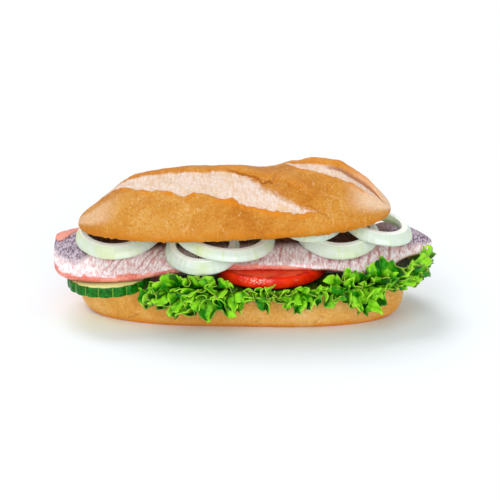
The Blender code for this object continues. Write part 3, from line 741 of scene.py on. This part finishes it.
def filletSurface(ends, lengthSteps, skinSteps, slits, seed):
    # closed sections along x: over the skin from front to back, round the back edge, under the
    # belly and up the front edge, the skin grooved by slanting slits between its flakes; v is the
    # share of the way from front to back, drop the share of the way down from the skin
    u = np.linspace(0, 1, lengthSteps)
    x = (ends[0] + (ends[1] - ends[0]) * (0.35 * (0.5 - 0.5 * np.cos(math.pi * u)) + 0.65 * u))[:, None]
    even = np.linspace(0, 1, skinSteps)
    skin = 0.5 * (0.5 - 0.5 * np.cos(math.pi * even)) + 0.5 * even
    edgeRows = np.linspace(0, 1, 9)[1:-1]
    belly = np.linspace(1, 0, 40)
    v = np.concatenate([skin, np.ones(7), belly, np.zeros(7)])
    drop = np.concatenate([np.zeros(skinSteps), edgeRows, np.ones(40), edgeRows[::-1]])
    lines = [curveThrough(x, filletStations, column) for column in range(1, 7)]
    front, frontTop, crown, _, back, backTop = lines
    y = front + (back - front) * v
    top = skinHeight(y, lines)
    line = frontTop * (1 - v) + backTop * v
    end = ease(np.minimum(x - ends[0], ends[1] - x) / 16)
    thickness = fillet["edge"] + (top - line) * (0.35 + 0.65 * end)
    outwards = (v == 1) * 1.0 - (v == 0)
    y = y + fillet["edgeBulge"] * np.sin(math.pi * drop) * outwards * (drop > 0)
    points = stack(x, y, top - thickness * drop)
    isSkin = drop == 0
    across = np.where(y < crown, (y - front) / (crown - front), 1 + (y - crown) / (back - crown))
    ragged = fillet["ragged"] * layeredNoise(points, 3.2, seed)
    points[..., 1] += ragged * ((v < 0.02) * 1.0 - (v > 0.98))
    soft = layeredNoise(points, 11, seed + 5)
    points[..., 2] += fillet["soft"] * soft * isSkin
    phase = (points[..., 0] - slits["lean"] * (points[..., 1] + 20)) / slits["pitch"]
    phase = phase + 0.16 * layeredNoise(points, 9, seed + 9)
    cut = bell((phase - np.round(phase)) * slits["pitch"] / slits["width"])
    choice = latticeNoise(stack(np.round(phase) * 3.0, 0, 0), 1.0, seed + 11)
    zone = ease((points[..., 0] - slits["from"]) / 8) * ease((slits["to"] - points[..., 0]) / 8)
    reach = ease((across - 0.06) / 0.08) * ease((slits["reach"] + 0.25 * choice - across) / 0.15)
    cut = cut * zone * reach * isSkin * (0.55 + 0.45 * (choice > -0.5))
    points[..., 2] -= slits["depth"] * cut
    # bare flesh shows on the lower part of the edges, along their lips and on a folded tip
    fleshy = ease((drop - 0.7 * ease((x - 20) / 30) - 0.1 * soft) / 0.15 + 0.6) * (drop > 0)
    lip = ease((0.03 + 0.05 * layeredNoise(points, 3.5, seed + 15, 3) - v) / 0.05) * isSkin * (x < 10)
    lip = np.maximum(lip, ease((v - 0.985) / 0.01) * isSkin)
    folded = ease((v - 0.82 + 0.22 * ease((-x - 96) / 14) + 0.03 * soft) / 0.02)
    folded = folded * ease((-x - 82) / 8) * isSkin
    points[..., 2] += fillet["fold"] * folded
    flesh = np.maximum(fleshy, np.maximum(lip, folded))
    tips = np.maximum(ease((-x - 84) / 14), ease((x - 84) / 14))
    return closedLoft(points, points[0].mean(axis=0) - (0.2, 0, 0), points[-1].mean(axis=0) + (0.2, 0, 0),
                      {"across": across, "flesh": flesh, "slit": cut, "tip": tips},
                      onesAtPoles=("across", "flesh", "tip"))


def herringFinish():
    # silver skin, dark blue-grey towards the back, painted brown there as the shade under the roll except at
    # the tips, pink flesh at the cut edges and in the slits
    recipe = Recipe("herringSkinAndFlesh")
    place = recipe.coordinates()
    across, flesh, slit, tip = recipe.bands("across", "flesh", "slit", "tip")
    streaks = recipe.noise(recipe.coordinates((1.0, 0.28, 0.28)), 900, 4, 0.65)
    flakes = recipe.noise(recipe.coordinates((1.0, 0.45, 0.45), (0, 0, 0.5)), 520, 5, 0.7)
    wide = recipe.noise(place, 60, 3, 0.5)
    fine = recipe.noise(place, 1100, 3, 0.6)
    hatch = recipe.noise(recipe.coordinates((1.0, 0.35, 0.35), (0, 0, -0.8)), 800, 2, 0.5)
    silver = recipe.blend(streaks.above(0.38, 0.6), (226, 192, 196), (255, 250, 252))
    silver = recipe.coats(silver, (flakes.above(0.5, 0.64) * 0.6, (220, 138, 134)),
                          (across.above(0.35, 0.8) * 0.4, (206, 148, 136)))
    # painted shade: the dark back under the roll, coloured brown as it lies in shadow
    shadedBackBrown = recipe.blend(streaks.above(0.35, 0.7), (60, 26, 14), (126, 76, 54))
    purple = recipe.blend((hatch * 0.5 + fine * 0.5).above(0.42, 0.58), (96, 70, 92), (196, 180, 196))
    dark = recipe.blend(tip, shadedBackBrown, purple)
    # where the skin turns dark: its real darker back, which away from the tips also carries the painted
    # brown shade
    darkBackAndShade = (across + wide * 0.4 + tip * 0.32 - 0.2).above(0.40, 0.72)
    skin = recipe.coats(silver, (darkBackAndShade, dark), (slit * 0.85, (188, 104, 98)))
    meat = recipe.blend((fine * 0.5 + wide * 0.5).above(0.38, 0.62), (218, 106, 90), (242, 172, 156))
    meat = recipe.blend(wide.above(0.5, 0.65) * 0.35, meat, (222, 130, 80))
    normal = recipe.bump(streaks * 0.6 + flakes * 0.8 - slit * 0.5, 0.45, 0.0006)
    return recipe.finish(colour=recipe.blend(flesh, skin, meat), normal=normal,
                         roughness=(0.34 + flesh * 0.12 + darkBackAndShade * 0.1).clamp(),
                         coat=((1 - darkBackAndShade) * 0.2).clamp(), coatRoughness=0.2, specular=0.22)


print("herring")
herring = herringFinish()
for label, steps, seed in (("left", 220, 201), ("right", 320, 231)):
    points, faces, bands = filletSurface(fillet[label], steps, 100, slitsOf[label], seed)
    putMesh("fillet_" + label, points, faces, herring, bands, ["herring_" + label])


# Onion rings

# middle x, middle y, outer radius, height, height of the underside, slope along x, slope along
# y, droop along y, out of round, its turn in degrees
onionRings = (
    (-73.0, 1.0, 26.0, 6.7, 43.0, 0.04, 0.09, 0.0056, 0.020, 20.0),
    (-22.5, -20.0, 22.6, 7.0, 40.6, 0.00, 0.28, 0.0010, 0.015, 75.0),
    (-9.9, -13.5, 29.4, 5.8, 47.8, -0.12, 0.20, 0.0000, 0.020, 10.0),
    (41.3, -5.0, 19.6, 6.0, 52.1, 0.00, 0.11, 0.0060, 0.010, 50.0),
    (57.5, -4.0, 25.4, 6.9, 44.8, 0.00, 0.08, 0.0062, 0.015, 110.0),
    (81.0, -8.0, 20.2, 6.6, 49.8, -0.16, 0.13, 0.0000, 0.020, 140.0),
)
onion = {"wall": 3.8, "cone": 2.8, "around": 200, "ribs": 26.0, "ribDepth": 0.10, "swell": 0.12}


def onionSurface(middleX, middleY, radius, height, level, slopeX, slopeY, droop, oval, ovalTurn, seed):
    # a wall section carried round a circle that is a little out of round, and laid over the
    # fillets: tilted by its slopes and lowered by droop times y squared
    wall, cone = onion["wall"], onion["cone"]
    top = radius - cone
    corners = np.array((
        (radius - 0.8, 0.0), (radius, 0.16 * height), (radius - 0.3 * cone, 0.6 * height),
        (top, 0.94 * height), (top - 0.5, height), (top - wall, height),
        (top - wall - 0.2, 0.5 * height), (radius - wall - 0.9, 0.0)))
    closed = np.concatenate([corners, corners[:1]])
    counts = (3, 8, 8, 3, 8, 8, 8, 8)
    section = np.concatenate([closed[i] + (closed[i + 1] - closed[i]) * (np.arange(n) / n)[:, None]
                              for i, n in enumerate(counts)])
    for _ in range(2):
        beside = np.roll(section, 1, axis=0) + np.roll(section, -1, axis=0)
        section = 0.5 * section + 0.25 * beside
    turn = (np.arange(onion["around"]) / onion["around"] * 2 * math.pi)[:, None]
    r, z = section[:, 0], section[:, 1]
    stretch = 1 + oval * np.cos(2 * (turn - math.radians(ovalTurn)))
    x, y = r * np.cos(turn) * stretch, r * np.sin(turn) * stretch
    points = stack(x, y, z)
    upright = stack(np.cos(turn) * onion["ribs"], np.sin(turn) * onion["ribs"], 0.12 * z)
    ribs = layeredNoise(upright, 1.4, seed)
    swell = onion["ribDepth"] * ribs + onion["swell"] * layeredNoise(points, 9, seed + 3)
    points[..., 0] += middleX + np.cos(turn) * swell
    points[..., 1] += middleY + np.sin(turn) * swell
    points[..., 2] += level + slopeX * x + slopeY * y - droop * y * y
    share = z / height
    cutFace = ease((share - 0.955) / 0.03) + ease((0.03 - share) / 0.03)
    return (points.reshape(-1, 3), gridFaces(onion["around"], len(section), True, True).tolist(),
            overGrid(x.shape, {"rise": share, "cut": cutFace, "ribs": ribs}))


def onionFinish():
    # moist pale wall with fine upright lines, greener in places, and a whiter cut face
    recipe = Recipe("onionFlesh")
    rise, cut, ribs = recipe.bands("rise", "cut", "ribs")
    wide = recipe.noise(recipe.coordinates(), 55, 2, 0.5)
    wall = recipe.blend(wide.above(0.4, 0.72), (213, 226, 214), (209, 222, 176))
    colour = recipe.coats(wall, (ribs.above(0.35, 0.8) * 0.4, (196, 214, 126)),
                          ((1 - rise).above(0.8, 1.0) * 0.6, (240, 246, 216)),
                          (cut.clamp(), (250, 255, 246)))
    return recipe.finish(colour=colour, roughness=0.3, normal=recipe.bump(ribs + wide, 0.2, 0.0004),
                         coat=0.3, coatRoughness=0.15, glow=0.25, glowRadius=(0.8, 1.0, 0.6),
                         glowScale=0.003)


print("onion")
onionPaint = onionFinish()
for number, ring in enumerate(onionRings, 1):
    points, faces, bands = onionSurface(*ring, 300 + 7 * number)
    putMesh("onion_%d" % number, points, faces, onionPaint, bands, ["onion_ring_%d" % number])


# Lettuce

# For each leaf: the node it stands for and its frills. A frill has the place of its base along
# the rim, the height of its base, and stations of its margin: place along the rim, slope in
# degrees and reach. Past the right tip the rim is followed round the far side.
leafFrills = {
    "lettuce_left": (
        (-46, 3, 1.0, ((-60, -22, 8), (-52, -38, 12), (-42, -50, 13), (-33, -56, 17), (-26, -50, 13),
                       (-19, -58, 17), (-9, -54, 15), (-2, -45, 12), (9, -38, 11))),
        (-45, 2, 1.7, ((-57, -20, 9), (-46, -34, 13), (-34, -38, 14), (-20, -36, 14), (-8, -34, 13),
                       (7, -24, 10))),
        (-43, 1, 2.4, ((-55, -4, 9), (-42, -12, 12), (-30, -6, 13), (-15, -12, 12), (5, -12, 9))),
        (-44, -1, 3.0, ((-54, 16, 9), (-46, 26, 13), (-33, 24, 14), (-20, 18, 13), (-6, 14, 10))),
        (-44, -3, 3.6, ((-53, 30, 9), (-47, 52, 12), (-38, 60, 13), (-28, 52, 12), (-16, 52, 11),
                        (-4, 34, 9))),
    ),
    "lettuce_middle": (
        (7, 44, 1.0, ((6, -42, 10), (14, -52, 12), (22, -40, 9), (27, -58, 14), (36, -50, 11),
                      (45, -34, 10))),
        (6, 45, 1.7, ((5, -20, 9), (16, -30, 11), (28, -26, 11), (38, -30, 10), (47, -16, 9))),
        (8, 44, 2.4, ((7, 2, 7), (20, -6, 9), (32, 2, 9), (46, 8, 8))),
    ),
    "lettuce_right": (
        (46, 101, 1.0, ((45, -38, 11), (50, -46, 12), (55, -36, 9), (60, -60, 16), (70, -62, 19),
                        (75, -44, 14), (79, -16, 10), (88, -6, 9), (95, -6, 10), (100, -26, 12),
                        (104, -50, 17), (109, -44, 15))),
        (47, 100, 1.7, ((45, -20, 10), (55, -30, 12), (63, -40, 14), (72, -34, 13), (78, -8, 11),
                        (88, 4, 11), (98, -4, 11), (104, -18, 13), (108, -20, 12))),
        (48, 99, 2.4, ((46, -2, 9), (58, -10, 12), (72, -8, 13), (84, 12, 12), (98, 14, 13),
                       (108, 4, 14))),
        (49, 101, 3.0, ((47, 22, 9), (60, 26, 13), (74, 28, 13), (86, 40, 15), (93, 36, 18), (99, 34, 13),
                        (107, 30, 14))),
        (50, 101, 3.6, ((48, 44, 12), (55, 66, 16), (63, 56, 11), (72, 58, 13), (79, 72, 18), (84, 60, 14),
                        (92, 50, 17), (100, 44, 12), (107, 40, 10))),
    ),
    "lettuce_back": (
        (141.2, 239.2, 1.0, ((135.2, -22, 10), (160, -36, 13), (185, -28, 12), (212, -40, 14),
                             (247.2, -18, 10))),
        (142.2, 238.2, 1.8, ((137, -14, 9), (170, -10, 12), (205, -20, 12), (245, -8, 9))),
        (143.2, 237.2, 2.6, ((139.2, 6, 8), (170, 16, 11), (205, 4, 11), (243.2, 12, 8))),
    ),
}
frillShape = {"pointsPerMm": 3.1, "outRows": 17, "ruffle": 8.8, "ruffleHeight": 3.2, "ruffleLoop": 2.1,
              "ripple": 4.3, "rippleHeight": 0.8, "lobes": 0.28, "tooth": 2.8, "toothDepth": 1.2,
              "curl": 74.0, "slopeSwing": 16.0, "overhang": 1.9, "crumple": 1.3, "crumpleCell": 4.6,
              "thickness": 0.0005}


def rimLine(along):
    # point and outward direction on the lower roll's cut rim, past the right tip the far side:
    # (x / length) ** power + (y / width) ** 2 = 1, whose slopes give the direction; within a few
    # millimetres of the tip the place along the rim grows with y, elsewhere with x
    length, width, power = base["halfLength"], base["rimShare"] * base["halfWidth"], base["power"]
    tip, near = length - 1.0, 3.0
    past = along - tip
    x = tip - np.abs(past)
    y = np.sign(past) * width * (1 - (np.abs(x) / length) ** power) ** 0.5
    turnY = width * (1 - ((tip - near) / length) ** power) ** 0.5
    atTip = np.abs(past) < near
    y = np.where(atTip, turnY * past / near, y)
    x = np.where(atTip, length * (1 - (y / width) ** 2) ** (1 / power), x)
    outX = power * np.sign(x) * (np.abs(x) / length) ** (power - 1) / length
    outY = 2 * y / width ** 2
    size = np.hypot(outX, outY)
    return stack(x, y + base["yaw"] * x), stack(outX / size, outY / size)


def frillSurface(baseFrom, baseTo, lift, margin, seed):
    # a sheet that lies flat inside the roll; past the rim each line across it is a path whose
    # angle is the margin's slope plus a curl, and ruffles of two sizes, larger towards the
    # lobed and toothed margin, push it along its normal and sideways
    shape = frillShape
    # columns are evenly spaced along the margin's path, also round the tip of the roll
    closeBy = np.linspace(margin[0][0], margin[-1][0], 1600)
    spot, outward = rimLine(closeBy)
    gone = np.hypot(*np.diff(spot + 7 * outward, axis=0).T[:2])
    gone = np.concatenate([[0.0], np.cumsum(gone)])
    count = int(shape["pointsPerMm"] * gone[-1])
    arc = np.linspace(0, gone[-1], count)[None, :]
    out = np.linspace(0, 1, shape["outRows"] + 1)[:, None]
    edge = np.interp(arc, gone, closeBy)
    u = (edge - margin[0][0]) / (margin[-1][0] - margin[0][0])
    slope = curveThrough(edge, margin, 1)
    reach = curveThrough(edge, margin, 2)

    def wander(cell, number):
        # noise along the margin that drifts a little towards the base
        return latticeNoise(stack(arc, 6 * out, seed), cell, seed + number)

    slope = slope + shape["slopeSwing"] * (wander(7.0, 1) + 0.6 * wander(3.4, 2))
    curl = shape["curl"] * (0.25 + 1.3 * wander(5.5, 3)) * ease((out - 0.35) / 0.65)
    angle = np.radians(slope * (0.55 + 0.45 * out) + curl)
    lobes = 1 + shape["lobes"] * (wander(8.0, 4) + 0.7 * wander(3.8, 5))
    ends = ease(arc / 8 + 0.25) * ease((gone[-1] - arc) / 8 + 0.25)
    step = reach * lobes * ends / shape["outRows"] * (out > 0)
    away = np.cumsum(np.cos(angle) * step, axis=0)
    rise = np.cumsum(np.sin(angle) * step, axis=0)
    toothPhase = arc / shape["tooth"] + 0.8 * wander(3.0, 6)[-1:, :]
    tooth = shape["toothDepth"] * (1 - 2 * np.abs((toothPhase % 1.0) * 2 - 1)) * ease((out - 0.86) / 0.14)
    away += tooth * np.cos(angle)
    rise += tooth * np.sin(angle)
    turn = 2 * math.pi * arc / shape["ruffle"] + 3.4 * wander(11.0, 7) + 1.2 * wander(4.0, 8)
    small = 2 * math.pi * arc / shape["ripple"] + 3.0 * wander(5.0, 9)
    strength = (0.75 + 0.5 * wander(9.0, 10)) * out ** 1.3
    push = shape["ruffleHeight"] * strength * np.sin(turn)
    push = push + shape["rippleHeight"] * np.sin(small) * out ** 2.2
    sideways = shape["ruffleLoop"] * strength * np.sin(2 * turn + 0.6)
    sideways = sideways + 0.35 * np.cos(small) * out ** 2.2
    away = away - push * np.sin(angle) + shape["overhang"] * (out > 0)
    rise = rise + push * np.cos(angle)
    spot, outward = rimLine((baseFrom + (baseTo - baseFrom) * u) * (1 - out) + edge * out)
    away = np.where((rise < 0) & (out > 0), np.maximum(away, 1.2), away)
    x = spot[..., 0] + outward[..., 0] * away + outward[..., 1] * sideways
    y = spot[..., 1] + outward[..., 1] * away - outward[..., 0] * sideways
    hanging = stack(x, y, np.maximum(baseCut(x) + lift + rise, 1.0))
    inset = np.linspace(-24, 0, 6)[:-1, None]
    flatX = spot[0, :, 0] + outward[0, :, 0] * inset
    flat = stack(flatX, spot[0, :, 1] + outward[0, :, 1] * inset, baseCut(flatX) + lift)
    crumpled = [layeredNoise(hanging, shape["crumpleCell"], seed + number, 2) for number in (21, 22, 23)]
    loose = shape["crumple"] * ease((out - 0.15) / 0.5)
    hanging = hanging + np.stack(crumpled, axis=-1) * loose[..., None]
    points = np.concatenate([flat, hanging])
    outness = np.concatenate([0 * inset, out])
    veins = np.abs(np.sin(math.pi * arc / 3.4 + 1.8 * wander(6.0, 12)))
    veins = (1 - ease(veins / 0.16)) * (1 - 0.75 * out)
    # fold: the ruffles' push, passed to the colour for painted shade in their valleys and painted light on
    # their crests
    fold = (0.7 * np.sin(turn) + 0.6 * np.sin(small)) * out
    inside = np.zeros((len(inset), count))
    return points, overGrid(points.shape[:2], {"margin": ease((outness - 0.93) / 0.07), "outness": outness,
                                               "vein": np.concatenate([inside, veins]),
                                               "fold": np.concatenate([inside, fold])})


def lettuceFinish():
    # fresh green, lighter and yellower at the margin, with pale veins; painted shade darkens the flat part
    # near the base and the valleys of the ruffles, and painted light brightens their crests
    recipe = Recipe("lettuceLeaf")
    place = recipe.coordinates()
    margin, outness, vein, fold = recipe.bands("margin", "outness", "vein", "fold")
    patches = recipe.noise(place, 130, 3, 0.55)
    fine = recipe.noise(place, 620, 3, 0.6)
    # painted light on the ruffles' crests, painted shade in their valleys, near-black painted shade on the
    # flat part near the base
    leaf = recipe.blend((patches + fold * 0.22).above(0.34, 0.66), (26, 134, 2), (148, 228, 34))
    colour = recipe.coats(leaf, ((patches - fold * 0.28).above(0.58, 0.70) * 0.85, (2, 58, 0)),
                          (vein * 0.4, (166, 220, 70)),
                          (fine.above(0.45, 0.75) * 0.35, (12, 92, 0)),
                          ((1 - outness).above(0.52, 0.9) * 0.9, (3, 40, 0)),
                          (margin * patches.above(0.35, 0.55) * 0.5, (200, 236, 78)))
    return recipe.finish(colour=colour, roughness=0.4, coat=0.05, coatRoughness=0.2, glow=0.12,
                         normal=recipe.bump(fine * 0.7 + patches + vein * 0.3, 0.6, 0.0008),
                         glowRadius=(0.4, 0.9, 0.2), glowScale=0.002, specular=0.14)


def makeLeaf(node, finish):
    # joins a leaf's frills into one mesh and gives the sheet its thickness
    allPoints, allFaces, allBands = [], [], []
    start = 0
    for number, frill in enumerate(leafFrills[node]):
        points, bands = frillSurface(*frill, 400 + 31 * number + 11 * len(node))
        rows, columns = points.shape[:2]
        allFaces += gridFaces(rows, columns, start=start).tolist()
        allPoints.append(points.reshape(-1, 3))
        allBands.append(bands)
        start += rows * columns
    bands = {label: np.concatenate([each[label] for each in allBands]) for label in allBands[0]}
    piece = putMesh(node.replace("lettuce", "leaf"), np.concatenate(allPoints), allFaces, finish, bands,
                    [node], bothWays=True)
    sheet = piece.modifiers.new("thickness", "SOLIDIFY")
    sheet.thickness = frillShape["thickness"]
    sheet.offset = 0.0


print("lettuce")
lettucePaint = lettuceFinish()
for node in leafFrills:
    makeLeaf(node, lettucePaint)


# Floor, light and camera

# each sun's azimuth from the camera's side and elevation in degrees, strength and spread
studio = {"elevation": 19.0, "distance": 0.9, "aimX": 5.2, "aimZ": 35.3, "viewWidth": 0.300,
          "floorSize": 12.0, "floorColour": (245.22, 249.89, 254.89), "worldStrength": 0.63,
          "suns": {"keyLight": (-30, 42, 0.5, 30), "fillLight": (10, 11, 1.5, 50),
                   "backLight": (-150, 54, 1.05, 30)}}


def makeFloor():
    # one large flat square at height 0
    size = studio["floorSize"]
    mesh = bpy.data.meshes.new("floor")
    mesh.from_pydata([(-size, -size, 0), (size, -size, 0), (size, size, 0), (-size, size, 0)], [],
                     [(0, 1, 2, 3)])
    mesh.materials.append(Recipe("paleFloor").finish(colour=studio["floorColour"], roughness=0.9,
                                                     specular=0.0))
    addObject("floor", mesh)


def makeSun(name, azimuth, elevation, strength, spread):
    # a sun whose light comes from that azimuth and elevation
    light = bpy.data.lights.new(name, "SUN")
    light.energy = strength
    light.angle = math.radians(spread)
    lamp = addObject(name, light)
    lamp.rotation_euler = (math.radians(90 - elevation), 0, math.radians(azimuth))


def makeCamera():
    # looks at the aim from the front and above; the lens is distance / view width of its sensor
    camera = bpy.data.cameras.new("camera")
    camera.sensor_width = 36.0
    camera.lens = 36.0 * studio["distance"] / studio["viewWidth"]
    camera.clip_end = 50
    holder = addObject("camera", camera)
    up = math.radians(studio["elevation"])
    aim = shift + np.array([studio["aimX"], 0, studio["aimZ"]]) * mm
    holder.location = aim + studio["distance"] * np.array([0, -math.cos(up), math.sin(up)])
    holder.rotation_euler = (math.radians(90) - up, 0, 0)
    bpy.context.scene.camera = holder


def makeWorld():
    # even white light from all round
    world = bpy.data.worlds.new("studio")
    world.use_nodes = True
    background = world.node_tree.nodes["Background"]
    background.inputs["Color"].default_value = (1, 1, 1, 1)
    background.inputs["Strength"].default_value = studio["worldStrength"]
    bpy.context.scene.world = world


print("floor, light and camera")
makeFloor()
for name, settings in studio["suns"].items():
    makeSun(name, *settings)
makeWorld()
makeCamera()
bpy.context.scene.view_settings.view_transform = "Standard"
